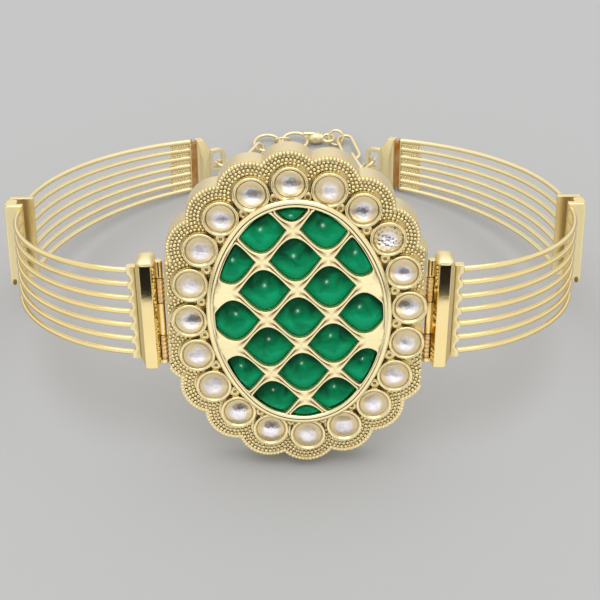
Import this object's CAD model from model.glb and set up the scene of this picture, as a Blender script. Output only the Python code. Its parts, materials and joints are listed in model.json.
import json
import math

import bpy
import numpy as np
from bpy.props import FloatProperty, FloatVectorProperty, IntProperty, PointerProperty
from bpy.types import Operator, Panel, PropertyGroup
from mathutils import Matrix, Vector


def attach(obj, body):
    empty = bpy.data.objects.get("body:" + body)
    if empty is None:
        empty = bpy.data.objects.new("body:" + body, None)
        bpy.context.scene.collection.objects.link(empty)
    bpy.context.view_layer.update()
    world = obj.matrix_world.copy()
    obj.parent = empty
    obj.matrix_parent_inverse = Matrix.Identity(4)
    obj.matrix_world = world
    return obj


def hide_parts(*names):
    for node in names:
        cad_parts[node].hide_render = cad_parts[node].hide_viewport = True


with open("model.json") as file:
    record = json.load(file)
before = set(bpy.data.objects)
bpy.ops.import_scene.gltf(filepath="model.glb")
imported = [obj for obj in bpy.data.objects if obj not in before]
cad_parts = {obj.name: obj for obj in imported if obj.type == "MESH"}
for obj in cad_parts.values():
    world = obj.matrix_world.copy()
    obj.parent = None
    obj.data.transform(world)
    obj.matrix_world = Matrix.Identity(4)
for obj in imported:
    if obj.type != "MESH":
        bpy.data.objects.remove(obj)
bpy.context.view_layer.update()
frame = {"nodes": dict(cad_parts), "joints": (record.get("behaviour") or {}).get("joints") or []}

bl_info = {
    "name": "Kundan bracelet",
    "version": (1, 0, 0),
    "blender": (4, 5, 0),
    "location": "View3D > Sidebar > Bracelet",
    "description": "Gives the bracelet its gilt metal, stones, granules, chain and studio",
    "category": "Object",
}

MM = 0.001
SIDES = (("left", Matrix.Diagonal((-1, 1, 1, 1))), ("right", Matrix()))

# Plate and border, in millimetres; the plate's sides are cut at the first, up to the second
PLATE_T = 2.6
PLATE_SIDES = (13.15, 9.3)
STONE_OVAL = (11.4, 14.4)
STONE_COUNT = 20
BORDER_SHIFT = Vector((-0.15, -0.12))
CUP_R = 1.86
CUP_ROOM = 0.1
# Bezel: half sizes, wire radius and height, and how far the rim stands proud of the wire
BEZEL_OVAL = (9.12, 12.38)
BEZEL_R = 0.46
BEZEL_Z = 3.34
RIM_PROUD = 0.05
# Panel: column and row of each cell, their steps, half sizes and fullness
CELLS = [(col, row) for row in range(4, -5, -1) for col in range(-2, 3)
         if (col + row) % 2 == 0 and abs(col) + abs(row) < 6]
CELL_STEP = (3.35, 3.22)
CELL_SIZE = (2.66, 2.3)
CELL_POW = 0.55
CELL_FLOOR = 0.1
# Furthest out that a cell closes, as a share of the panel
HEART_SHARE = 0.93
# Heights of the panel's walls at its middle and at its edge
PANEL_H = 1.55
PANEL_EDGE_H = 1.05
# How far a cell wall looks for a neighbour: least, most and step
WALL_LOOK = (0.05, 1.6, 0.02)
# Wires of the walls: widest half and its share of the reach, steepest crown, and how far they sink
WALL_RIDGE = (0.17, 0.66)
WALL_STEEP = 1.25
WALL_SINK = 0.02
# Reaches between which the groove of two wires fills up, and the share of the crown left in it
WALL_MERGE = (0.38, 0.72)
WALL_GROOVE = 0.2
# Green stones: gap round each, foot over the floor, and how fast their tone turns
STONE_GAP = 0.07
STONE_FOOT = 0.1
TONE_TURN = 2.4
# Cushion of a green stone: its fall, the drop at its edge and how late it comes, rings of points
CUSHION = 0.12
EDGE_DROP = -0.42
EDGE_LATE = 6
CUSHION_RINGS = [1.0, 0.985, 0.95, 0.9, 0.84, 0.77] + [0.72 - 0.04 * i for i in range(17)]
# Clear stones: radius, heights of girdle and table, radius that bows the table, depth of facets
GLASS_R = 1.6
GIRDLE = (0.6, 0.7)
TABLE_Z = 1.06
TABLE_BOW = 3.7
FACET_DEPTH = 0.045
# How clear each of them is, clockwise from the top
CLARITY = [0.7, 0.2, 0.8, 0.95, 0.6, 0.75, 0.4, 0.3, 0.2, 0.3,
           0.15, 0.7, 0.75, 0.2, 0.3, 0.75, 0.25, 0.3, 0.5, 0.6]
# Rows of granules: radii round each stone and height over the plate, then the same on the rim
ROWS = ((1.78, 2.14, 2.52, 2.9), 0.08)
RIM_ROWS = ((3.24,), 0.2)
# Fewest points in a row, and the share of the bezel's oval that rows keep clear of
ROW_LEAST = 6
ROW_CLEAR = 1.075
# Profiles of radius and height: a cup's collar and a pad with its pit
COLLAR_TOP = 0.9
COLLAR = [(1.88, -0.14), (1.84, -0.05), (1.78, -0.01), (1.72, 0.0), (1.66, -0.02), (1.6, -0.08),
          (1.55, -0.18)]
COLLAR_FOOT = [(1.89, -0.02), (1.9, 0.55)]
PAD = [(0.66, -0.05), (0.64, 0.4), (0.55, 0.52), (0.4, 0.57), (0.25, 0.55), (0.19, 0.46), (0.16, 0.25),
       (0.001, 0.22)]
# How far inward the pads lie, and how much they differ in size
PAD_INWARD = 1.2
PAD_SPREAD = 0.12
# Hinge knuckles: both ends of each, their radius, and the ribs on them
LUG_SPANS = [(1.05, 3.8), (-5.45, -2.75)]
KNUCKLE_R = 0.42
RIB_COUNT = 6
RIB_INSET = 0.14
RIB_R = 0.075
# Dome of a bar: middle, half sizes, squareness, lowest rim and its rise at both ends, top, fall
DOME_MIDDLE = (1.24, -0.05)
DOME_HALF = (1.0, 1.56)
DOME_POW = 3.2
DOME_RIM = (5.62, 0.44)
DOME_TOP = 6.42
DOME_FALL = 2.6
# Each ring of the dome: its share of the rim and its drop
DOME_RINGS = [(0.93, 0.35)] + [(r, 0.0) for r in (1.0, 0.97, 0.91, 0.82, 0.7, 0.56, 0.4, 0.22)]
# Comb that holds the front wires at each bar: inner and outer edge, foot and head, rows of points
COMB = (2.42, 3.35, -5.4, 5.1)
COMB_ROWS = 121
# Its scallops' middle and radius, how far in its face ends, and how far out the face stands
COMB_SCALLOP = (3.5, 0.55)
COMB_INSET = 0.02
COMB_SECTION = (-0.09, -0.15, -0.2, -0.16, -0.09)
# Pitch of the front wires, and height of the bars' middle
BAR_PITCH = 1.58
BAR_Z = 0.25
# Face of a side plate: inner and outer edge, depth and half height; its cut corners and steps
SIDE_FACE = (30.9, 32.9, 18.1, 4.95)
SIDE_CORNER = 0.25
SIDE_STEPS = ((0.0, -0.01), (0.05, 0.05), (0.2, 0.08))
# End of a side pin: where, its radius, and its rings as shares of that and steps out
PIN_END = (32.45, -4.5, 0.24)
PIN_RINGS = ((1.0, 0.0), (1.0, 0.12), (0.8, 0.17), (0.4, 0.19))
# End cap: outline in its own frame, counterclockwise, middle and half thickness
CAP_OUTLINE = np.array([(0.8, -3.41), (1.7, -3.41), (2.6, -1.9), (2.6, 2.0), (1.7, 3.41), (0.8, 3.41)])
CAP_MIDDLE = np.array((1.62, 0.05))
CAP_HALF = 0.6
# Crowned face of a cap: its height and fall, how deep its rim sinks, and rings of points
CAP_CROWN = 0.3
CAP_FALL = 2.4
CAP_SINK = 0.02
CAP_RINGS = [0.99, 0.97, 0.93, 0.87, 0.79, 0.69, 0.57, 0.43, 0.29, 0.15]
# Back wires at a cap: their pitch, and where the recess and the solder lie
CAP_PITCH = 1.08
RECESS = (0.4, 0.37)
WEB_ENDS = (-2.5, -1.3, -0.25)
WEB_FACE = 0.13
WEB_NUDGE = 0.11
# Grains of that solder: spacing, radius and spread
WEB_GRAINS = (0.3 * MM, 0.135 * MM, 0.3)
# Closing chain: wire radii of links and rings, a ring's room, lift and roll, height of the chain
LINK_R = 0.225
JUMP_R = 0.18
JUMP_ROOM = 0.24
JUMP_LIFT = 0.12
JUMP_ROLL = -60
CHAIN_FLOOR = 0.86
LINK_POINTS = 40
CLASP_TURN = 180
HOOKED = -2 * LINK_R
# Where the first link lies in a cap's loop, and how each side's is nudged
LOOP_GRIP = (4.36 - LINK_R - 0.26, -0.15)
GRIP_NUDGE = {"left": (-0.24, -0.11, -0.07), "right": (0.12, -0.05, 0.15)}
# Links: length, width, heading, downward pitch, roll, gap to the next link, leaving heading
LEFT_LINKS = [
    (4.95, 2.4, 24.5, 25.7, -13, HOOKED - 0.34, 24.5),
    (6.1, 2, 61, 0, 60, HOOKED - 0.34, 61),
    (3.9, 3.9, 50, 0, 0, 0.66, 10),
    (3.2, 3.5, 3, 0, 5, 0, 3)]
RIGHT_LINKS = [
    (3.6, 2.55, 152.8, 48.3, 0, HOOKED - 0.38, 152.8),
    (4.3, 1.75, 110.9, 0, 75, HOOKED - 0.38, 110.9),
    (5.6, 2.4, 105.7, 0, -6, 0.66, 155)]
# Stage, in metres: half floor, standing card's radius, the cards' side, two edges and height
FLOOR_HALF = 1.5
ARCH_R = 0.068
CARD_SIDE, CARD_FRONT, CARD_NEAR = 0.12, -0.178, -0.034
CARD_Z = 0.0002
# Camera: place in millimetres, elevation and roll in degrees, lens
CAMERA_PLACE = (0.488, -137.875, 130.393)
CAMERA_ELEVATION = 43.99
CAMERA_ROLL = -0.27
CAMERA_LENS = 93.0
# Gilt finishes: clean and deep tone, reach and strength of the stain, grain, edge and dullness
GILTS = {
    "gilt": ("gilt", "deep", 0.9, 1.0, 0.006, 0.09, 0.0),
    "gilt_wires": ("gilt", "deep", 0.7, 0.8, 0.002, 0.14, -0.06),
    "gilt_caps": ("pale", "deep", 0.7, 0.8, 0.004, 0.14, 0.2),
    "gilt_pins": ("pin", "deep", 0.5, 1.0, 0.006, 0.02, 0.0),
    "gilt_grains": ("pale", "patina", 0.4, 1.0, 0.004, 0.0, 0.24),
    "gilt_lips": ("pale", "patina", 0.5, 1.0, 0.004, 0.0, 0.1),
    "gilt_rim": ("pale", "patina", 0.6, 1.0, 0.004, 0.0, 0.04),
    "gilt_walls": ("pale", "patina", 0.45, 1.0, 0.004, 0.0, 0.12),
    "gilt_satin": ("pale", "deep", 0.5, 1.0, 0.006, 0.0, 0.3),
    "gilt_dark": ("patina", "patina", 0.3, 1.0, 0.01, 0.0, 0.25)}


# Places

def joint(name):
    """One joint of the frame, by name."""
    return next(j for j in frame["joints"] if j["name"] == name)


def at(x, y, z):
    """A place, given in millimetres."""
    return Matrix.Translation(Vector((x, y, z)) * MM)


def turned(place, *turns):
    """A place turned by degrees about each axis in order."""
    for degrees, axis in turns:
        place = place @ Matrix.Rotation(math.radians(degrees), 4, axis)
    return place


# The ring's lean and place, from the left side hinge, and its parts' places on the right
SIDE_HINGE = joint("left_side_hinge")
SIDE_HINGE_AT = Vector((-32.28 * MM, 19.5 * MM, 0))
LEAN = Matrix.Rotation(-math.atan2(SIDE_HINGE["axis"][1], SIDE_HINGE["axis"][2]), 4, "X")
RING = Matrix.Translation(Vector(SIDE_HINGE["pos_m"]) - LEAN @ SIDE_HINGE_AT) @ LEAN
MEDALLION = turned(RING @ at(0.4, 2.6, 0.4), (90, "X"), (3.5, "Z"))
BAR_PLACE = turned(at(13.95, 0.55, BAR_Z), (1.4, "Y"))
# An end cap's frame runs along the arm, up and outward
CAP_PLACE = turned(at(13.61, 43.9, 0), (155.669, "Z"), (90, "X"))


def on_medallion(x, y, z):
    """From the medallion's own millimetres to the frame's metres."""
    return MEDALLION @ Vector((x * MM, y * MM, z * MM))


# Shapes of the medallion, in its own frame

def oval_point(turn):
    """A point on the oval of border stones, turn in degrees clockwise from the top."""
    t = math.radians(turn)
    return Vector((STONE_OVAL[0] * math.sin(t), STONE_OVAL[1] * math.cos(t)))


def stone_places():
    """Middles of the border stones, in equal steps along their oval."""
    steps = [(oval_point(i + 1) - oval_point(i)).length for i in range(360)]
    run = np.concatenate([[0], np.cumsum(steps)])
    turns = np.interp(np.arange(STONE_COUNT) * run[-1] / STONE_COUNT, run, np.arange(361))
    return [oval_point(t) for t in turns]


STONES = stone_places()
PANEL_OVAL = (BEZEL_OVAL[0] - BEZEL_R, BEZEL_OVAL[1] - BEZEL_R)
DOME_R = BEZEL_OVAL[0] * BEZEL_OVAL[1] / (2 * (PANEL_H - PANEL_EDGE_H))
# The bezel's four arcs: radii of the end arcs and of the long ones, and where they meet
END_R = BEZEL_OVAL[0] ** 2 / BEZEL_OVAL[1] * 1.08
LONG_R = (BEZEL_OVAL[0] ** 2 + (BEZEL_OVAL[1] - END_R) ** 2 - END_R ** 2) / (2 * (BEZEL_OVAL[0] - END_R))
END_HALF = math.atan2(LONG_R - BEZEL_OVAL[0], BEZEL_OVAL[1] - END_R)


def wall_top(x, y):
    """Height of the cell walls over a point of the panel."""
    return PLATE_T + PANEL_H - (x * x + y * y) / (2 * DOME_R)


def oval_share(p, oval):
    """1 on the oval, less inside it."""
    return math.hypot(p[0] / oval[0], p[1] / oval[1])


def inside_bezel(p, edge):
    """True where a point lies inside the bezel's wall by more than edge."""
    x = abs(p[0])
    y = abs(p[1]) - BEZEL_OVAL[1] + END_R
    if y * math.sin(END_HALF) > x * math.cos(END_HALF):
        return math.hypot(x, y) < END_R - BEZEL_R - edge
    return math.hypot(x + LONG_R - BEZEL_OVAL[0], p[1]) < LONG_R - BEZEL_R - edge


def last_inside(low, high, inside, steps):
    """How far the way from low to high stays inside, found by halving it."""
    for _ in range(steps):
        mid = (low + high) / 2
        low, high = (mid, high) if inside(mid) else (low, mid)
    return low


def cell_outline(k, gap, count):
    """Outline of a cell, drawn in by gap and cut by the bezel's wall, and the point it closes on."""
    middle = Vector((CELLS[k][0] * CELL_STEP[0], CELLS[k][1] * CELL_STEP[1]))
    share = oval_share(middle, PANEL_OVAL)
    heart = middle if share < HEART_SHARE else middle * (HEART_SHARE / share)
    w = CELL_SIZE[0] - gap
    h = CELL_SIZE[1] - gap
    points = []
    for i in range(2 * count):
        x = -w * math.cos(math.pi * i / count)
        y = h * (0.5 + 0.5 * math.cos(math.pi * x / w)) ** CELL_POW
        p = middle + Vector((x, y if i < count else -y))
        if not inside_bezel(p, gap):
            p = last_inside(heart, p, lambda q: inside_bezel(q, gap), 20)
        points.append(p)
    return points, heart


def circle(r, count):
    """Even points round a circle."""
    return [(r * math.cos(t), r * math.sin(t)) for t in (math.tau * i / count for i in range(count))]


# Meshes and pieces

def mesh_of(name, points, faces=(), edges=(), smooth=True, **marks):
    """A mesh from plain lists; each mark is a value for every point."""
    mesh = bpy.data.meshes.new(name)
    mesh.from_pydata([tuple(p) for p in points], list(edges), list(faces))
    mesh.update()
    if faces and smooth:
        mesh.shade_smooth()
    for mark, values in marks.items():
        mesh.attributes.new(mark, "FLOAT", "POINT").data.foreach_set("value", values)
    return mesh


def paths_mesh(name, paths, closed=False):
    """A mesh of open or closed paths."""
    points, edges = [], []
    for path in paths:
        first = len(points)
        points += path
        edges += [(first + i, first + i + 1) for i in range(len(path) - 1)]
        if closed:
            edges.append((first + len(path) - 1, first))
    return mesh_of(name, points, edges=edges)


def grid(first, rows, across, rows_close=False, across_close=True):
    """Faces of a grid of points, row after row; both ways may close on themselves."""
    faces = []
    for row in range(rows if rows_close else rows - 1):
        low = first + row * across
        high = first + (row + 1) % rows * across
        for i in range(across if across_close else across - 1):
            j = (i + 1) % across
            faces.append((low + i, low + j, high + j, high + i))
    return faces


def domed(first, rows, across):
    """Faces of rings of points and of the tip that follows them."""
    last = first + (rows - 1) * across
    return grid(first, rows, across) + [
        (last + i, last + (i + 1) % across, last + across) for i in range(across)]


def add_object(name, data):
    """A new object in the scene."""
    thing = bpy.data.objects.new(name, data)
    bpy.context.scene.collection.objects.link(thing)
    return thing


def add_piece(name, mesh, material=None, body="medallion", replaces=()):
    """Puts a finished mesh in the scene as a piece that rides on a body."""
    piece = add_object(name, mesh)
    if material:
        mesh.materials.clear()
        mesh.materials.append(material)
    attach(piece, body)
    if replaces:
        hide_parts(*replaces)


def add_pairs(body, place, *pieces):
    """Puts pieces on both sides: name, points in their place on the right, faces, finish and if smooth."""
    for side, flip in SIDES:
        whole = RING @ flip @ place
        for name, points, faces, finish, smooth in pieces:
            sided = [face[::-1] for face in faces] if side == "left" else faces
            mesh = mesh_of(side + name, [whole @ (Vector(p) * MM) for p in points], sided, smooth=smooth)
            add_piece(side + name, mesh, gilt(finish), side + body)


def known(name, build):
    """A node group by its name, built when it is first asked for."""
    return bpy.data.node_groups.get(name) or build(name)


def grow_piece(name, base, tree, body="medallion", replaces=(), **values):
    """Adds the piece that a Geometry Nodes tree makes of a base mesh."""
    source = add_object(name + "_source", base)
    modifier = source.modifiers.new("Nodes", "NODES")
    modifier.node_group = tree
    for socket in tree.interface.items_tree:
        if socket.in_out == "INPUT" and socket.name in values:
            modifier[socket.identifier] = values[socket.name]
    evaluated = source.evaluated_get(bpy.context.evaluated_depsgraph_get())
    mesh = bpy.data.meshes.new_from_object(evaluated)
    source.modifiers.remove(modifier)
    bpy.data.objects.remove(source)
    mesh.name = name
    add_piece(name, mesh, body=body, replaces=replaces)


def add_wires(name, paths, radius, sides, finish, body="medallion", replaces=()):
    """Adds a piece of round wires bent in closed paths."""
    grow_piece(name, paths_mesh(name, paths, closed=True), known("Round wire along paths", wire_tree), body,
               replaces, Radius=radius * MM, Sides=sides, Material=gilt(finish))


def add_grains(name, paths, spacing, radius, spread, seed, body="medallion"):
    """Adds a piece of granules in rows along open paths."""
    grow_piece(name, paths_mesh(name, paths), known("Granules along paths", granule_tree), body,
               Spacing=spacing, Radius=radius, Spread=spread, Seed=seed, Material=gilt("gilt_grains"))


def add_spread(name, profile, around, spots, spread, seed, finish):
    """Adds a piece of parts turned from a profile of radius and height, on spots of the plate."""
    turn = MEDALLION.to_3x3()
    points = [turn @ Vector((x, y, z)) * MM for r, z in profile for x, y in circle(r, around)]
    mesh = mesh_of(name + "_part", points, grid(0, len(profile), around))
    part = bpy.data.objects.new(name + "_part", mesh)
    base = mesh_of(name + "_spots", [on_medallion(p.x, p.y, PLATE_T) for p in spots])
    grow_piece(name, base, known("Part on points", part_tree), Part=part, Spread=spread, Seed=seed,
               Material=gilt(finish))
    bpy.data.objects.remove(part)


# Node trees

class Nodes:
    """Adds nodes to a tree and links them."""

    def __init__(self, tree):
        self.tree = tree

    def put(self, socket, value):
        """Links a socket or sets it; a node stands for its first output."""
        if isinstance(value, bpy.types.Node):
            value = value.outputs[0]
        if isinstance(value, bpy.types.NodeSocket):
            self.tree.links.new(value, socket)
        elif socket.type == "RGBA":
            socket.default_value = (*value[:3], 1)
        else:
            socket.default_value = value

    def step(self, kind, sockets=None, **settings):
        """A node with its settings, and its sockets linked or set."""
        node = self.tree.nodes.new(kind)
        for key, value in settings.items():
            setattr(node, key, value)
        for key, value in (sockets or {}).items():
            self.put(node.inputs[key], value)
        return node

    def sockets(self, way, **kinds):
        """Sockets of a group, in or out, each with its kind."""
        for label, kind in kinds.items():
            self.tree.interface.new_socket(label, in_out=way, socket_type="NodeSocket" + kind)

    def calc(self, operation, *values, clamp=False):
        """The result of a sum on values."""
        return self.step("ShaderNodeMath", dict(enumerate(values)), operation=operation, use_clamp=clamp)

    def place(self):
        """Object coordinates."""
        return self.step("ShaderNodeTexCoord").outputs["Object"]

    def mark(self, name):
        """A value that the mesh carries for every point."""
        return self.step("ShaderNodeAttribute", attribute_name=name).outputs["Fac"]

    def noise(self, scale, detail, distortion=0.0):
        """Cloudy noise."""
        return self.step("ShaderNodeTexNoise", {
            "Vector": self.place(), "Scale": scale, "Detail": detail, "Distortion": distortion})

    def span(self, value, low, high, start=0.0, end=1.0, **settings):
        """A value brought from start and end to low and high."""
        return self.step("ShaderNodeMapRange", {0: value, 1: start, 2: end, 3: low, 4: high}, **settings)

    def mix(self, share, low, high):
        """Blends two colours."""
        return self.step("ShaderNodeMix", {0: share, 6: low, 7: high}, data_type="RGBA").outputs[2]

    def ramp(self, value, stops):
        """A ramp from 0 to 1 through grey or coloured stops."""
        node = self.step("ShaderNodeValToRGB", {0: value})
        band = node.color_ramp.elements
        for place, _ in stops[2:]:
            band.new(place)
        for element, (place, colour) in zip(band, sorted(stops, key=lambda s: s[0])):
            element.position = place
            element.color = (*colour, 1) if hasattr(colour, "__len__") else (colour, colour, colour, 1)
        return node


class Tree(Nodes):
    """A Geometry Nodes tree: geometry comes in, its last step goes out through a material."""

    def __init__(self, name, **inputs):
        super().__init__(bpy.data.node_groups.new(name, "GeometryNodeTree"))
        self.sockets("INPUT", Geometry="Geometry", **inputs, Material="Material")
        self.sockets("OUTPUT", Geometry="Geometry")
        self.given = self.step("NodeGroupInput").outputs

    def curves(self):
        """The paths that come in, as curves."""
        return self.step("GeometryNodeMeshToCurve", {0: self.given["Geometry"]})

    def scatter(self, points, part, most=1.0):
        """A part on every point, each of its own size."""
        least = self.calc("SUBTRACT", 1.0, self.given["Spread"])
        size = self.step("FunctionNodeRandomValue", {2: least, 3: most, "Seed": self.given["Seed"]},
                         data_type="FLOAT")
        return self.close(self.step("GeometryNodeInstanceOnPoints", {
            "Points": points, "Instance": part, "Scale": size.outputs[1]}))

    def close(self, node):
        """Realize, shade smooth, set the material and end."""
        real = self.step("GeometryNodeRealizeInstances", {0: node})
        smooth = self.step("GeometryNodeSetShadeSmooth", {0: real})
        finish = self.step("GeometryNodeSetMaterial", {0: smooth, "Material": self.given["Material"]})
        self.step("NodeGroupOutput", {0: finish})
        return self.tree


def granule_tree(name):
    """Round granules soldered in a row along each path."""
    t = Tree(name, Spacing="Float", Radius="Float", Spread="Float", Seed="Int")
    even = t.step("GeometryNodeResampleCurve", {"Curve": t.curves(), "Length": t.given["Spacing"]},
                  mode="LENGTH")
    ball = t.step("GeometryNodeMeshIcoSphere", {"Radius": t.given["Radius"], "Subdivisions": 2})
    return t.scatter(even, ball, t.calc("ADD", 1.0, t.given["Spread"]))


def part_tree(name):
    """One part repeated on every vertex of the base."""
    t = Tree(name, Part="Object", Spread="Float", Seed="Int")
    part = t.step("GeometryNodeObjectInfo", {"Object": t.given["Part"]})
    return t.scatter(t.given["Geometry"], part.outputs["Geometry"])


def wire_tree(name):
    """Round wire swept along each path."""
    t = Tree(name, Radius="Float", Sides="Int")
    section = t.step("GeometryNodeCurvePrimitiveCircle", {
        "Resolution": t.given["Sides"], "Radius": t.given["Radius"]})
    return t.close(t.step("GeometryNodeCurveToMesh", {"Curve": t.curves(), "Profile Curve": section}))


# Materials

class Finish(Nodes):
    """A material under construction, on its Principled shader."""

    def __init__(self, name, **values):
        self.material = bpy.data.materials.new(name)
        self.material.use_nodes = True
        super().__init__(self.material.node_tree)
        self.set(**values)

    def set(self, **values):
        """Sets sockets of the shader, by name with underscores for spaces, and gives the material."""
        shader = self.tree.nodes["Principled BSDF"]
        for key, value in values.items():
            self.put(shader.inputs[key.replace("_", " ")], value)
        return self.material


def metal_group(name):
    """Gilt metal: a clean tone that deepens in the recesses, a soft polish and rounded edges."""
    f = Nodes(bpy.data.node_groups.new(name, "ShaderNodeTree"))
    f.sockets("INPUT", Clean="Color", Deep="Color", Reach="Float", Stain="Float", Grain="Float",
              Edge="Float", Dullness="Float")
    f.sockets("OUTPUT", Color="Color", Roughness="Float", Normal="Vector")
    given = f.step("NodeGroupInput").outputs
    hollow = f.step("ShaderNodeAmbientOcclusion", {"Distance": given["Reach"]}, samples=8)
    shade = f.ramp(hollow.outputs["AO"], [(0.12, 1.0), (0.62, 0.0)])
    stain = f.calc("MULTIPLY", shade, given["Stain"], clamp=True)
    cloud = f.noise(260.0, 3.0)
    toned = f.mix(f.span(cloud, 0.0, 0.2), given["Clean"], given["Deep"])
    worn = f.calc("ADD", f.span(cloud, 0.07, 0.15), given["Dullness"])
    rounded = f.step("ShaderNodeBevel", {"Radius": given["Edge"]}, samples=4)
    bump = f.step("ShaderNodeBump", {
        "Strength": 0.25, "Distance": given["Grain"], "Height": f.noise(2600.0, 2.0), "Normal": rounded})
    f.step("NodeGroupOutput", {
        "Color": f.mix(stain, toned, given["Deep"]),
        "Roughness": f.calc("MULTIPLY_ADD", stain, 0.35, worn, clamp=True), "Normal": bump})
    return f.tree


def recess_mask(f):
    """Uneven stain in the strips between the wires and the end caps, on both sides."""
    place = RING @ CAP_PLACE
    across = place.to_3x3() @ Vector((1, 0, 0))
    middle = across.dot(place @ (Vector((RECESS[0], 0, 0)) * MM))
    parts = f.step("ShaderNodeSeparateXYZ", {0: f.place()}).outputs
    folded = f.step("ShaderNodeCombineXYZ", {0: f.calc("ABSOLUTE", parts[0]), 1: parts[1], 2: parts[2]})
    along = f.step("ShaderNodeVectorMath", {0: folded, 1: across}, operation="DOT_PRODUCT")
    off = f.calc("ABSOLUTE", f.calc("SUBTRACT", along.outputs["Value"], middle))
    inner, outer = (RECESS[1] * share * MM for share in (0.85, 1.15))
    mask = f.span(off, 1.0, 0.0, inner, outer, interpolation_type="SMOOTHSTEP")
    return f.calc("MULTIPLY", mask, f.span(f.noise(800.0, 3.0), 0.72, 1.0, 0.35, 0.65))


def gilt(name):
    """A gilt material by its name, made when it is first asked for."""
    if name in bpy.data.materials:
        return bpy.data.materials[name]
    metal = looks(bpy.context).metal
    clean, deep, reach, stain, grain, edge, dull = GILTS[name]
    f = Finish(name)
    group = f.step("ShaderNodeGroup", {
        "Clean": getattr(metal, clean), "Deep": getattr(metal, deep), "Reach": reach * MM, "Stain": stain,
        "Grain": grain * MM, "Edge": edge * MM, "Dullness": dull},
        node_tree=known("Gilt metal", metal_group))
    colour = group.outputs["Color"]
    if name == "gilt_caps":
        colour = f.mix(recess_mask(f), colour, metal.recess)
    if name == "gilt_walls":
        colour = f.mix(f.mark("groove"), colour, metal.groove)
    return f.set(Base_Color=colour, Roughness=group.outputs["Roughness"], Normal=group.outputs["Normal"],
                 Metallic=1.0)


def green_finish(deep, bright):
    """Foiled green glass: dark above, bright low down where the foil throws the light back."""
    f = Finish("green_glass", Roughness=0.19, Specular_IOR_Level=0.06, IOR=1.52)
    sway = f.span(f.noise(560.0, 3.0, 0.8), -0.46, 0.46)
    middle = [0.45 * a + 0.55 * b for a, b in zip(bright, deep)]
    dark = [0.3 * c for c in deep]
    return f.set(Base_Color=f.ramp(f.calc("ADD", f.mark("stone_up"), sway, clamp=True), [
        (0.0, bright), (0.9, dark), (0.24, bright), (0.36, middle), (0.6, deep)]))


def clear_finish(clear, foil, rim):
    """Clear glass on foil: milky or crackled by stone, gold where its cup shows through."""
    f = Finish("clear_glass", Coat_Weight=0.6, Coat_Roughness=0.03, IOR=1.52)
    kind = f.mark("stone_kind")
    cloud = f.noise(900.0, 4.0)
    body = f.mix(f.ramp(cloud, [(0.35, 0.0), (0.65, 1.0)]), foil, clear)
    reach = f.calc("ADD", f.mark("stone_edge"), f.span(cloud, -0.3, 0.3))
    crackle = f.step("ShaderNodeTexVoronoi", {"Vector": f.place(), "Scale": 2400.0})
    share = f.ramp(kind, [(0.1, 0.3), (0.95, 1.0), (0.6, 0.12), (0.85, 0.12)])
    bump = f.step("ShaderNodeBump", {
        "Strength": share, "Distance": 0.1 * MM, "Height": crackle.outputs["Distance"]})
    return f.set(
        Base_Color=f.mix(f.ramp(reach, [(0.42, 0.0), (0.66, 1.0)]), body, rim),
        Metallic=f.ramp(kind, [(0.15, 0.5), (0.6, 1.0)]), Roughness=f.span(kind, 0.36, 0.22),
        Normal=bump)


# Sizes and colours that a user would change

def colour_prop(name, description, *default):
    """A colour property."""
    return FloatVectorProperty(name=name, description=description, default=default, size=3,
                               min=0.0, max=1.0, subtype="COLOR")


def length_prop(name, description, millimetres):
    """A length property, given in millimetres and held in metres."""
    return FloatProperty(name=name, description=description, default=millimetres * MM, min=0.0,
                         max=5.0 * MM, unit="LENGTH", precision=5)


def number_prop(name, description, default, **limits):
    """A property that is a number from 0 up."""
    kind = IntProperty if isinstance(default, int) else FloatProperty
    return kind(name=name, description=description, default=default, **{"min": 0, **limits})


class KB_MetalLooks(PropertyGroup):
    gilt: colour_prop("Gilt", "Clean gilt metal", 0.92, 0.75, 0.37)
    pale: colour_prop("Pale gilt", "Granules, cups and caps", 0.97, 0.84, 0.49)
    pin: colour_prop("Pins", "Redder metal of the pins", 0.70, 0.36, 0.10)
    deep: colour_prop("Deep gilt", "Gilt in the recesses", 0.40, 0.23, 0.05)
    patina: colour_prop("Patina", "Dark patina between the granules", 0.27, 0.20, 0.075)
    groove: colour_prop("Groove", "Brown stain along the cell walls", 0.14, 0.055, 0.015)
    recess: colour_prop("Recess", "Stain beside the end caps", 0.45, 0.17, 0.02)
    wire_sides: number_prop("Wire sides", "Sides of the chain's wire", 12, min=6, max=24)


class KB_MedallionLooks(PropertyGroup):
    granule_r: length_prop("Granule radius", "Radius of a granule", 0.19)
    granule_step: length_prop("Granule spacing", "Spacing along a row", 0.41)
    granule_spread: number_prop("Granule spread", "Difference in size", 0.14, max=0.5)
    collar_lift: length_prop("Collar lift", "Height of a cup's lip over its solid", 0.06)
    wall_crown: length_prop("Wall crown", "How far the cell walls are rounded up", 0.22)
    seed: number_prop("Seed", "Seed of the hand-made differences", 7)


class KB_StoneLooks(PropertyGroup):
    green_deep: colour_prop("Deep green", "Dark upper part of green glass", 0.0, 0.185, 0.066)
    green_bright: colour_prop("Bright green", "Green glass lit by its foil", 0.003, 0.36, 0.15)
    clear: colour_prop("Clear glass", "Clear glass over its foil", 0.93, 0.88, 0.87)
    foil: colour_prop("Foil", "Foil seen through clear glass", 0.62, 0.58, 0.61)
    rim: colour_prop("Stone rim", "Cup seen through clear glass", 0.62, 0.50, 0.28)
    lean: number_prop("Lean", "Most that a clear stone leans in its cup", 0.09, max=0.3, unit="ROTATION")
    crown: length_prop("Cushion height", "Height of a green stone over its walls", 0.3)


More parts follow.
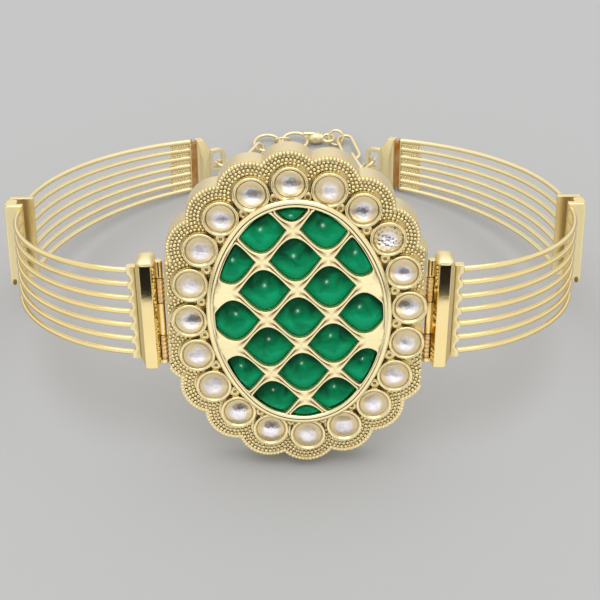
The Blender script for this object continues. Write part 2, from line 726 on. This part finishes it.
class KB_StageLooks(PropertyGroup):
    floor: colour_prop("Floor", "Colour of the floor", 0.41, 0.41, 0.41)
    sky: number_prop("Sky strength", "Strength of the even light", 1.03)
    key: number_prop("Key strength", "Power of the overhead softbox", 1.0, unit="POWER")
    fill: number_prop("Fill strength", "Glow of the white card in front", 1.1)
    glint: number_prop("Glint strength", "Glow of the card that cell walls mirror", 1.2)
    sparkle: number_prop("Green gleam", "Lamp that green glass mirrors", 0.22, unit="POWER")
    lustre: number_prop("Clear gleam", "Lamp that clear glass mirrors", 0.005, unit="POWER")


class KB_BraceletLooks(PropertyGroup):
    metal: PointerProperty(type=KB_MetalLooks, name="Metal", description="Gilt metal")
    medallion: PointerProperty(type=KB_MedallionLooks, name="Medallion", description="Medallion detail")
    stones: PointerProperty(type=KB_StoneLooks, name="Stones", description="Glass stones")
    stage: PointerProperty(type=KB_StageLooks, name="Stage", description="Floor and light")


def looks(context):
    """The bracelet's property groups."""
    return context.scene.kb_bracelet


# Steps of the medallion

class KB_OT_metal(Operator):
    """Finish the arms, pins, plate and clasp in gilt metal"""
    bl_idname = "kb.metal"
    bl_label = "Gilt metal"

    def execute(self, context):
        chosen = {"medallion_frame": "gilt", "clasp": "gilt"}
        for side, _ in SIDES:
            chosen.update({side + "_front_arm": "gilt_wires", side + "_back_arm": "gilt_caps",
                           side + "_hinge_pin": "gilt_pins", side + "_side_pin": "gilt_pins"})
        for name, finish in chosen.items():
            for slot in frame["nodes"][name].material_slots:
                slot.material = gilt(finish)
        return {"FINISHED"}


def bare_border(p):
    """True where a point of the border lies on the plate, clear of the cups and the bezel."""
    if min((p - s).length for s in STONES) <= CUP_R + CUP_ROOM:
        return False
    ring = RING.inverted() @ on_medallion(p.x, p.y, PLATE_T)
    on_plate = abs(ring.x) < PLATE_SIDES[0] * MM or abs(ring.z) > PLATE_SIDES[1] * MM
    return on_plate and oval_share(p, BEZEL_OVAL) > ROW_CLEAR


def border_rows(radii, height):
    """Paths along the scallops at each radius, where that scallop is the nearest and the plate is bare."""
    paths = []
    middles = [s + BORDER_SHIFT for s in STONES]
    for radius in radii:
        for k, middle in enumerate(middles):
            run = []
            for i in range(361):
                t = math.radians(i) + math.atan2(-middle.y, -middle.x)
                p = middle + Vector((math.cos(t), math.sin(t))) * radius
                nearest = min(range(STONE_COUNT), key=lambda j: (p - middles[j]).length)
                fits = nearest == k and bare_border(p)
                if fits:
                    run.append(on_medallion(p.x, p.y, PLATE_T + height))
                if run and (not fits or i == 360):
                    if len(run) > ROW_LEAST:
                        paths.append(run)
                    run = []
    return paths


class KB_OT_granules(Operator):
    """Solder rows of granules between the cups and the scalloped edge"""
    bl_idname = "kb.granules"
    bl_label = "Granule rows"

    def execute(self, context):
        size = looks(context).medallion
        for name, rows, share in (("border_granules", ROWS, 1.0), ("rim_granules", RIM_ROWS, 0.9)):
            add_grains(name, border_rows(*rows), size.granule_step * share, size.granule_r * share,
                       size.granule_spread, size.seed)
        return {"FINISHED"}


class KB_OT_collars(Operator):
    """Burnish a rounded lip over each border stone's cup"""
    bl_idname = "kb.collars"
    bl_label = "Cup collars"

    def execute(self, context):
        size = looks(context).medallion
        top = COLLAR_TOP + size.collar_lift / MM
        profile = COLLAR_FOOT + [(r, top + z) for r, z in COLLAR]
        add_spread("cup_collars", profile, 48, STONES, 0.0, size.seed, "gilt_lips")
        return {"FINISHED"}


class KB_OT_gaps(Operator):
    """Fill the gaps between the cups and the bezel with pads that each hold a dark pit"""
    bl_idname = "kb.gaps"
    bl_label = "Pads and pits"

    def execute(self, context):
        spots = []
        for a, b in zip(STONES, STONES[1:] + STONES[:1]):
            along = (b - a).normalized()
            spots.append((a + b) / 2 + Vector((along.y, -along.x)) * PAD_INWARD)
        add_spread("gap_pads", PAD, 20, spots, PAD_SPREAD, looks(context).medallion.seed + 1, "gilt_grains")
        return {"FINISHED"}


class KB_OT_bezel(Operator):
    """Draw the bezel's rounded rim over its four soldered arcs"""
    bl_idname = "kb.bezel"
    bl_label = "Bezel rim"

    def execute(self, context):
        path = []
        for y, x in circle(1.0, 240):
            r = last_inside(5.0, 15.0, lambda r: inside_bezel((r * x, r * y), -BEZEL_R), 30)
            path.append(on_medallion(r * x, r * y, BEZEL_Z))
        add_wires("bezel_rim", [path], BEZEL_R + RIM_PROUD, 20, "gilt_rim")
        return {"FINISHED"}


def outward_normals(points):
    """Outward normals of a clockwise outline, smoothed over its corners."""
    ahead = np.roll(points, -1, 0) - np.roll(points, 1, 0)
    normals = np.stack([-ahead[:, 1], ahead[:, 0]], 1)
    for _ in range(2):
        normals = normals / np.linalg.norm(normals, axis=1)[:, None]
        normals = normals + 0.5 * (np.roll(normals, 1, 0) + np.roll(normals, -1, 0))
    return normals / np.linalg.norm(normals, axis=1)[:, None]


def wall_reach(p, n, others):
    """How far a wall runs out from a cell before it is nearer to a neighbour or meets the bezel."""
    t, most, step = WALL_LOOK
    while t < most:
        q = p + n * t
        if np.min(np.linalg.norm(others - q, axis=1)) <= t or not inside_bezel(q, -0.1):
            break
        t += step
    return t


def blend(low, high, value):
    """0 below low, 1 above high and smooth between."""
    t = min(1.0, max(0.0, (value - low) / (high - low)))
    return t * t * (3 - 2 * t)


def wall_section(reach, crown):
    """A wall from a cell out to its middle: distance, rise and stain of each point."""
    ridge = min(WALL_RIDGE[0], WALL_RIDGE[1] * reach)
    lift = min(crown, WALL_STEEP * ridge)
    narrow = 1 - blend(*WALL_MERGE, reach)
    floor = WALL_GROOVE + (1 - WALL_GROOVE) * (1 - narrow)
    section = [(0.0, -0.14, 1.0)]
    for share in (0.05, 0.16, 0.34, 0.62, 1.0):
        section.append((ridge * share, lift * math.sqrt(1 - (1 - share) ** 2), 0.6 * (1 - share) ** 2))
    for share in (0.25, 0.5, 0.75, 1.0):
        run = (reach - ridge) * share
        fall = math.sqrt(max(0.0, 1 - (run / ridge) ** 2))
        section.append((ridge + run, lift * max(fall, floor), narrow * blend(0.3, 0.9, share)))
    section.append((reach + 0.03, lift * floor - 0.004, narrow))
    section.append((reach + 0.09, lift * floor - 0.09, narrow))
    return section


class KB_OT_walls(Operator):
    """Solder a rounded wire round every green stone, with a stained groove between two wires"""
    bl_idname = "kb.walls"
    bl_label = "Cell walls"

    def execute(self, context):
        crown = looks(context).medallion.wall_crown / MM
        outlines = [np.array([tuple(p) for p in cell_outline(k, 0.0, 40)[0]]) for k in range(len(CELLS))]
        points, faces, stains = [], [], []
        for k, outline in enumerate(outlines):
            others = np.concatenate(outlines[:k] + outlines[k + 1:])
            first = len(points)
            for p, n in zip(outline, outward_normals(outline)):
                section = wall_section(wall_reach(p, n, others), crown)
                for distance, rise, stain in section:
                    q = p + n * distance
                    points.append(on_medallion(q[0], q[1], wall_top(q[0], q[1]) + rise - WALL_SINK))
                    stains.append(stain)
            faces += grid(first, len(outline), len(section), rows_close=True, across_close=False)
        add_piece("cell_walls", mesh_of("cell_walls", points, faces, groove=stains), gilt("gilt_walls"))
        return {"FINISHED"}


class KB_OT_green_stones(Operator):
    """Set a smooth green cushion in every cell"""
    bl_idname = "kb.green_stones"
    bl_label = "Green stones"

    def execute(self, context):
        look = looks(context).stones
        crown = look.crown / MM
        points, faces, heights = [], [], []
        for k in range(len(CELLS)):
            outline, heart = cell_outline(k, STONE_GAP, 36)
            count = len(outline)
            first = len(points)
            points += [on_medallion(p.x, p.y, PLATE_T + CELL_FLOOR + STONE_FOOT) for p in outline]
            rises = [math.tanh(TONE_TURN * (p.y - heart.y) / CELL_SIZE[1]) for p in outline]
            heights += [0.5 + 0.5 * rise for rise in rises]
            for r in CUSHION_RINGS:
                for p, up in zip(outline, rises):
                    q = heart + (p - heart) * r
                    dome = crown - CUSHION * (q - heart).length_squared
                    rise = dome + (EDGE_DROP - dome) * r ** EDGE_LATE
                    points.append(on_medallion(q.x, q.y, wall_top(q.x, q.y) + rise))
                    heights.append(0.5 + 0.5 * r * up)
            points.append(on_medallion(heart.x, heart.y, wall_top(heart.x, heart.y) + crown))
            heights.append(0.5)
            faces += [(face[0],) + face[:0:-1] for face in domed(first, len(CUSHION_RINGS) + 1, count)]
        add_piece("green_stones", mesh_of("green_stones", points, faces, stone_up=heights),
                  green_finish(look.green_deep, look.green_bright),
                  replaces=["green_stone_%02d" % (k + 1) for k in range(len(CELLS))])
        return {"FINISHED"}


def cut_stone(turn, lean, sway, lift):
    """A clear stone's points, faces and edge shares: a girdle, soft crown facets and a bowed table."""
    around = 24
    rings = [(GLASS_R, z) for z in GIRDLE]
    rings += [(r, TABLE_Z - r * r / (2 * TABLE_BOW)) for r in (1.4, 1.2, 1.0, 0.8, 0.6, 0.4, 0.2)]
    seat = GIRDLE[1]
    pivot = Vector((0, 0, seat + 0.05))
    tip = Matrix.Rotation(lean, 3, Vector((math.cos(sway), math.sin(sway), 0)))
    points, shares = [], []
    for r, z in rings + [(0.0, TABLE_Z)]:
        for i in range(around if r else 1):
            t = turn + 2 * math.pi * i / around
            facet = 1 - FACET_DEPTH * (r / GLASS_R) * abs(math.sin(4 * (t - turn)))
            p = Vector((r * math.cos(t), r * math.sin(t), seat + (z - seat) * lift * facet))
            points.append(p if r == GLASS_R else tip @ (p - pivot) + pivot)
            shares.append(r / GLASS_R)
    return points, domed(0, len(rings), around), shares


class KB_OT_clear_stones(Operator):
    """Set a clear stone on foil in every cup of the border"""
    bl_idname = "kb.clear_stones"
    bl_label = "Clear stones"

    def execute(self, context):
        look = looks(context).stones
        luck = np.random.default_rng(looks(context).medallion.seed)
        points, faces, shares, kinds = [], [], [], []
        for s, kind in zip(STONES, CLARITY):
            turn, sway = luck.uniform(0, math.tau, 2)
            lean, lift = luck.uniform((0.0, 0.85), (look.lean, 1.15))
            cut, sides, edge = cut_stone(turn, lean, sway, lift)
            first = len(points)
            points += [on_medallion(s.x + p.x, s.y + p.y, PLATE_T + p.z) for p in cut]
            faces += [tuple(first + i for i in side) for side in sides]
            shares += edge
            kinds += [kind] * len(cut)
        mesh = mesh_of("clear_stones", points, faces, stone_edge=shares, stone_kind=kinds)
        add_piece("clear_stones", mesh, clear_finish(look.clear, look.foil, look.rim),
                  replaces=["kundan_stone_%02d" % (k + 1) for k in range(STONE_COUNT)])
        return {"FINISHED"}


# Steps of the arms

class KB_OT_ribs(Operator):
    """Rib the medallion's hinge knuckles with fine turned rings"""
    bl_idname = "kb.ribs"
    bl_label = "Knuckle ribs"

    def execute(self, context):
        paths = []
        for side, _ in SIDES:
            hinge = joint(side + "_front_hinge")
            turn = Vector((0, 0, 1)).rotation_difference(Vector(hinge["axis"])).to_matrix().to_4x4()
            place = Matrix.Translation(hinge["pos_m"]) @ turn
            up = 1 if hinge["axis"][2] > 0 else -1
            for low, high in LUG_SPANS:
                for z in np.linspace(low + RIB_INSET, high - RIB_INSET, RIB_COUNT):
                    paths.append([place @ (Vector((x, y, up * z)) * MM) for x, y in circle(KNUCKLE_R, 24)])
        add_wires("knuckle_ribs", paths, RIB_R, 8, "gilt_pins")
        return {"FINISHED"}


class KB_OT_bar_tops(Operator):
    """Round the tops of the upright bars off in soft domes"""
    bl_idname = "kb.bar_tops"
    bl_label = "Bar tops"

    def execute(self, context):
        around = 40
        points = []
        for share, drop in DOME_RINGS:
            for cosine, sine in circle(1.0, around):
                x, y = (math.copysign(abs(c) ** (2 / DOME_POW), c) for c in (cosine, sine))
                rim = DOME_RIM[0] + DOME_RIM[1] * math.sqrt(abs(sine))
                rise = 0.0 if drop else (DOME_TOP - rim) * (1 - share ** DOME_FALL)
                points.append((DOME_MIDDLE[0] + DOME_HALF[0] * x * share,
                               DOME_MIDDLE[1] + DOME_HALF[1] * y * share, rim + rise - drop))
        points.append((*DOME_MIDDLE, DOME_TOP))
        add_pairs("_front", BAR_PLACE, (
            "_bar_top", points, domed(0, len(DOME_RINGS), around), "gilt_satin", True))
        return {"FINISHED"}


class KB_OT_combs(Operator):
    """Skin the combs that hold the front wires with a soft satin face"""
    bl_idname = "kb.combs"
    bl_label = "Wire combs"

    def execute(self, context):
        x0, x1, low, high = COMB
        middle, r = COMB_SCALLOP
        points = []
        for z in np.linspace(low + COMB_INSET, high - COMB_INSET, COMB_ROWS):
            nearest = min(abs(z + BAR_Z - (k - 2.5) * BAR_PITCH) for k in range(6))
            edge = min(x1, middle - math.sqrt(max(0.0, r * r - nearest * nearest))) - COMB_INSET
            across = (x0, x0 + 0.01, (x0 + edge) / 2, edge - 0.05, edge)
            points += [(x, out, z) for x, out in zip(across, COMB_SECTION)]
        add_pairs("_front", BAR_PLACE, (
            "_comb", points, grid(0, COMB_ROWS, len(COMB_SECTION), across_close=False), "gilt_satin", True))
        return {"FINISHED"}


class KB_OT_side_faces(Operator):
    """Face the side plates in satin, each with the dark end of its pin"""
    bl_idname = "kb.side_faces"
    bl_label = "Side plate faces"

    def execute(self, context):
        x0, x1, depth, half = SIDE_FACE
        points = []
        for inset, out in SIDE_STEPS:
            lo, hi, top = x0 + inset, x1 - inset, half - inset
            points += [(x, depth - out, z) for x, z in (
                (lo, -top), (hi - SIDE_CORNER, -top), (hi, SIDE_CORNER - top), (hi, top - SIDE_CORNER),
                (hi - SIDE_CORNER, top), (lo, top))]
        dot_x, dot_z, dot_r = PIN_END
        dots = [(dot_x + x, depth - out, dot_z + 1.5 * z)
                for share, out in PIN_RINGS for x, z in circle(dot_r * share, 16)]
        add_pairs("_front", Matrix(),
                  ("_side_face", points, grid(0, 3, 6) + [tuple(range(12, 18))], "gilt_satin", False),
                  ("_pin_end", dots, grid(0, 4, 16) + [tuple(range(48, 64))], "gilt_dark", True))
        return {"FINISHED"}


class KB_OT_cap_faces(Operator):
    """Crown both faces of the end caps like small cushions"""
    bl_idname = "kb.cap_faces"
    bl_label = "End cap faces"

    def execute(self, context):
        outline = [a + (b - a) * t for a, b in zip(CAP_OUTLINE, np.roll(CAP_OUTLINE, -1, 0))
                   for t in np.linspace(0, 0.9, 10)]
        points, faces = [], []
        for face in (-1, 1):
            sides = domed(len(points), len(CAP_RINGS), len(outline))
            faces += [side[::-1] for side in sides] if face < 0 else sides
            for r in CAP_RINGS + [0.0]:
                z = face * (CAP_HALF - CAP_SINK + CAP_CROWN * (1 - r ** CAP_FALL))
                ring = outline if r else outline[:1]
                points += [(*(CAP_MIDDLE + (p - CAP_MIDDLE) * r), z) for p in ring]
        add_pairs("_back", CAP_PLACE, ("_cap_faces", points, faces, "gilt_satin", True))
        return {"FINISHED"}


class KB_OT_web_beads(Operator):
    """Grain the solder between the back wires near the end caps"""
    bl_idname = "kb.web_beads"
    bl_label = "Solder grains at the caps"

    def execute(self, context):
        seed = looks(context).medallion.seed + 2
        for side, flip in SIDES:
            place = flip @ RING @ CAP_PLACE
            paths = [
                [place @ (Vector((x + nudge, (row - 2.5) * CAP_PITCH + nudge, face)) * MM) for x in WEB_ENDS]
                for row in range(6) for face in (-WEB_FACE, WEB_FACE) for nudge in (-WEB_NUDGE, WEB_NUDGE)]
            add_grains(side + "_web_beads", paths, *WEB_GRAINS, seed, side + "_back")
        return {"FINISHED"}


# Steps of the chain

def heading(turn, pitch=0.0):
    """Unit vector of a plan heading and a downward pitch, both in degrees."""
    t = math.radians(turn)
    p = math.radians(pitch)
    return Vector((math.cos(t) * math.cos(p), math.sin(t) * math.cos(p), -math.sin(p)))


def link_path(length, width, radius, middle, turn, pitch, roll):
    """Middle line of a link's wire: a rounded oblong, by its middle, heading, pitch and roll."""
    place = turned(Matrix.Translation(middle), (turn, "Z"), (pitch, "Y"), (roll, "X"))
    end = width / 2 - radius
    run = (length - width) / 2
    path = []
    for i in range(LINK_POINTS):
        t = 2 * math.pi * (i + 0.5) / LINK_POINTS
        flat = Vector((end * math.cos(t) + math.copysign(run, math.cos(t)), end * math.sin(t), 0))
        path.append((place @ flat) * MM)
    return path


def loop_grip(side, flip):
    """Where the first link lies in a loop, in the frame's millimetres."""
    p = RING @ CAP_PLACE @ (Vector((*LOOP_GRIP, 0)) * MM) / MM
    return flip @ p + Vector(GRIP_NUDGE[side])


def chain_paths(rows, start, last):
    """Middle lines of the links and of the jump rings over their gaps, along the chain."""
    links, rings = [], []
    p = start
    for i, (length, width, turn, pitch, roll, gap, leave) in enumerate(rows):
        middle = p + heading(turn, pitch) * (length / 2 - LINK_R)
        end = (middle + heading(turn, pitch) * (length - width) / 2
               + heading(leave, pitch) * (width / 2 - LINK_R))
        onward = (leave + (rows[i + 1][2] if i + 1 < len(rows) else last)) / 2
        q = end + heading(onward) * gap
        q.z = CHAIN_FLOOR
        links.append(link_path(length, width, LINK_R, middle, turn, pitch, roll))
        if gap > 0:
            wide = gap + 2 * LINK_R + 2 * JUMP_ROOM + 4 * JUMP_R
            spot = (end + q) / 2
            spot.z = CHAIN_FLOOR + JUMP_LIFT
            rings.append(link_path(wide, wide, JUMP_R, spot, onward, 0, JUMP_ROLL))
        p = q
    return links, rings


class KB_OT_chain(Operator):
    """Draw the closing chain's links and jump rings in round wire"""
    bl_idname = "kb.chain"
    bl_label = "Closing chain"

    def execute(self, context):
        sides = looks(context).metal.wire_sides
        for (side, flip), rows, last in zip(SIDES, (LEFT_LINKS, RIGHT_LINKS), (0.0, CLASP_TURN)):
            links, rings = chain_paths(rows, loop_grip(side, flip), last)
            add_wires(side + "_links", links, LINK_R, sides, "gilt", side + "_back", [side + "_chain"])
            add_wires(side + "_jump_ring", rings, JUMP_R, sides, "gilt", side + "_back")
        return {"FINISHED"}


# The stage

def sheet(name, points, material):
    """A flat sheet of the stage."""
    mesh = mesh_of(name, points, [tuple(range(len(points)))], smooth=False)
    mesh.materials.append(material)
    thing = add_object(name, mesh)
    return thing


def flat(half, front, back, z):
    """Corners of a level rectangle."""
    return [(-half, front, z), (half, front, z), (half, back, z), (-half, back, z)]


def card(name, points, shade, glow):
    """A card out of view that only polished surfaces mirror."""
    f = Finish(name, Base_Color=(shade, shade, shade), Roughness=1.0, Specular_IOR_Level=0.0,
               Emission_Color=(1, 1, 1), Emission_Strength=glow)
    thing = sheet(name, points, f.material)
    hide_from(thing, "camera", "diffuse", "shadow")
    return thing


def hide_from(thing, *rays):
    """Keeps a card or a lamp from some rays."""
    for ray in rays:
        setattr(thing, "visible_" + ray, False)


def light_only(source, piece):
    """Lets a card or a lamp light one piece only."""
    lit = bpy.data.collections.new("lit_by_" + source.name)
    lit.objects.link(bpy.data.objects[piece])
    source.light_linking.receiver_collection = lit


def lamp(name, power, place, size):
    """A square area lamp that shines down."""
    data = bpy.data.lights.new(name, "AREA")
    data.size = size
    data.energy = power
    thing = add_object(name, data)
    thing.location = place
    return thing


def gleam(name, piece, power, colour, size, place, target):
    """A small oval lamp that only one piece mirrors."""
    thing = lamp(name, power, place, size[0])
    thing.data.shape = "ELLIPSE"
    thing.data.size_y = size[1]
    thing.data.color = colour
    thing.rotation_euler = (Vector(target) - Vector(place)).to_track_quat("-Z", "Y").to_euler()
    hide_from(thing, "camera", "diffuse")
    light_only(thing, piece)


def lay_floor(look):
    """A pale floor, faintly uneven in tone."""
    f = Finish("floor", Roughness=0.9, Specular_IOR_Level=0.0)
    paler = [min(1.0, c * 1.03) for c in look.floor]
    f.set(Base_Color=f.mix(f.noise(6.0, 2.0), look.floor, paler))
    sheet("floor", flat(FLOOR_HALF, -FLOOR_HALF, FLOOR_HALF, 0.0), f.material)


def set_lights(look):
    """Two cards, the gleams on the glass, a softbox overhead and an even sky."""
    arch = [(ARCH_R * math.cos(t), CARD_FRONT, ARCH_R * math.sin(t)) for t in np.linspace(0, math.pi, 25)]
    light_only(card("standing_card", arch, 0.02, look.glint), "cell_walls")
    card("white_card", flat(CARD_SIDE, CARD_FRONT, CARD_NEAR, CARD_Z), 0.0, look.fill)
    gleam("green_gleam", "green_stones", look.sparkle, colour=(0.66, 1.0, 0.82), size=(0.012, 0.022),
          place=(-0.014, -0.17, 0.068), target=(0.0, -0.02, 0.015))
    gleam("clear_gleam", "clear_stones", look.lustre, colour=(1, 1, 1), size=(0.06, 0.03),
          place=(0.0, -0.072, 0.001), target=(0.0, -0.072, 0.1))
    lamp("softbox", look.key, place=(0.0, 0.02, 0.45), size=0.5)
    world = bpy.data.worlds.new("studio")
    world.use_nodes = True
    sky = world.node_tree.nodes["Background"].inputs
    sky[0].default_value = (1, 1, 1, 1)
    sky[1].default_value = look.sky
    bpy.context.scene.world = world


def set_camera(scene):
    """The camera at the photograph's angle."""
    data = bpy.data.cameras.new("camera")
    data.lens = CAMERA_LENS
    data.sensor_width = 36.0
    data.clip_start = 0.005
    camera = add_object("camera", data)
    camera.matrix_world = turned(at(*CAMERA_PLACE), (90 - CAMERA_ELEVATION, "X"), (CAMERA_ROLL, "Z"))
    scene.camera = camera
    scene.view_settings.view_transform = "Standard"


class KB_OT_stage(Operator):
    """Lay the floor, light it and set the camera"""
    bl_idname = "kb.stage"
    bl_label = "Studio"

    def execute(self, context):
        look = looks(context).stage
        lay_floor(look)
        set_lights(look)
        set_camera(context.scene)
        return {"FINISHED"}


# The panel and the add-on

class KB_PT_bracelet(Panel):
    """Sizes, colours and steps of the bracelet"""
    bl_idname = "KB_PT_bracelet"
    bl_label = "Kundan bracelet"
    bl_space_type = "VIEW_3D"
    bl_region_type = "UI"
    bl_category = "Bracelet"

    def draw(self, context):
        group = looks(context)
        for part in ("metal", "medallion", "stones", "stage"):
            box = self.layout.box()
            box.label(text=part.capitalize())
            values = getattr(group, part)
            for key in values.__annotations__:
                box.prop(values, key)
        for step in STEPS:
            self.layout.operator(step.bl_idname)


LOOKS = (KB_MetalLooks, KB_MedallionLooks, KB_StoneLooks, KB_StageLooks, KB_BraceletLooks)
STEPS = (KB_OT_metal, KB_OT_granules, KB_OT_collars, KB_OT_gaps, KB_OT_bezel, KB_OT_walls,
         KB_OT_green_stones, KB_OT_clear_stones, KB_OT_ribs, KB_OT_bar_tops, KB_OT_combs, KB_OT_side_faces,
         KB_OT_cap_faces, KB_OT_web_beads, KB_OT_chain, KB_OT_stage)


def register():
    for part in LOOKS + STEPS + (KB_PT_bracelet,):
        bpy.utils.register_class(part)
    bpy.types.Scene.kb_bracelet = PointerProperty(type=KB_BraceletLooks, name="Bracelet",
                                                  description="Looks of the bracelet")


def unregister():
    del bpy.types.Scene.kb_bracelet
    for part in reversed(LOOKS + STEPS + (KB_PT_bracelet,)):
        bpy.utils.unregister_class(part)


def main():
    register()
    for step in STEPS:
        name = step.bl_idname.split(".")[1]
        getattr(bpy.ops.kb, name)()


if __name__ == "__main__":
    main()
